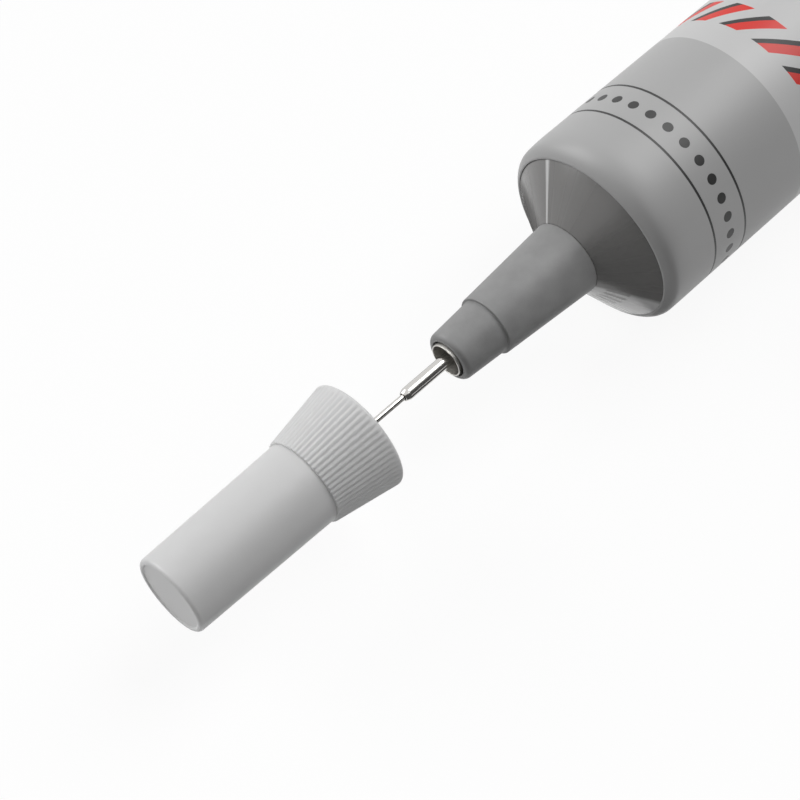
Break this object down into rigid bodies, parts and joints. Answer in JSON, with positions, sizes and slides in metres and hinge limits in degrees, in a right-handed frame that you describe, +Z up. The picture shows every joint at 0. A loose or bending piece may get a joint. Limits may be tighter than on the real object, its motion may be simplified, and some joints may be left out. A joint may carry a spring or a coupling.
{
  "type": "glue tube",
  "caption": "Squeeze tube of glue with a glossy shoulder, stepped nozzle, steel dispensing needle and a ribbed cap whose wire pin keeps the needle clear.",
  "frame": {"origin": "middle of the bounding box's underside, with the tube lying on its barrel and flat tail, and the cap drawn off as in the picture", "axes": "+X along the tube's axis from the cap to the crimp, +Z up, -Y towards the picture's camera"},
  "size_m": [0.136, 0.0298, 0.0191],
  "materials": {
    "sleeve_plastic": "satin, extruded and printed",
    "shoulder_plastic": "glossy, moulded",
    "nozzle_plastic": "matt, moulded",
    "steel": "bright, drawn",
    "glue": "thick clear fill",
    "cap_plastic": "satin, moulded"
  },
  "bodies": {
    "tube": {"sleeve": "sleeve_plastic", "shoulder": "shoulder_plastic", "nozzle": "nozzle_plastic", "needle_ferrule": "steel", "needle": "steel", "adhesive": "glue"},
    "cap": {"cap": "cap_plastic", "cap_pin": "steel"}
  },
  "joints": [
    {"name": "cap_slide", "type": "slide", "parent": "tube", "child": "cap", "axis": [-1, 0, 0], "range_m": [-0.0247, 0.02]}
  ]
}
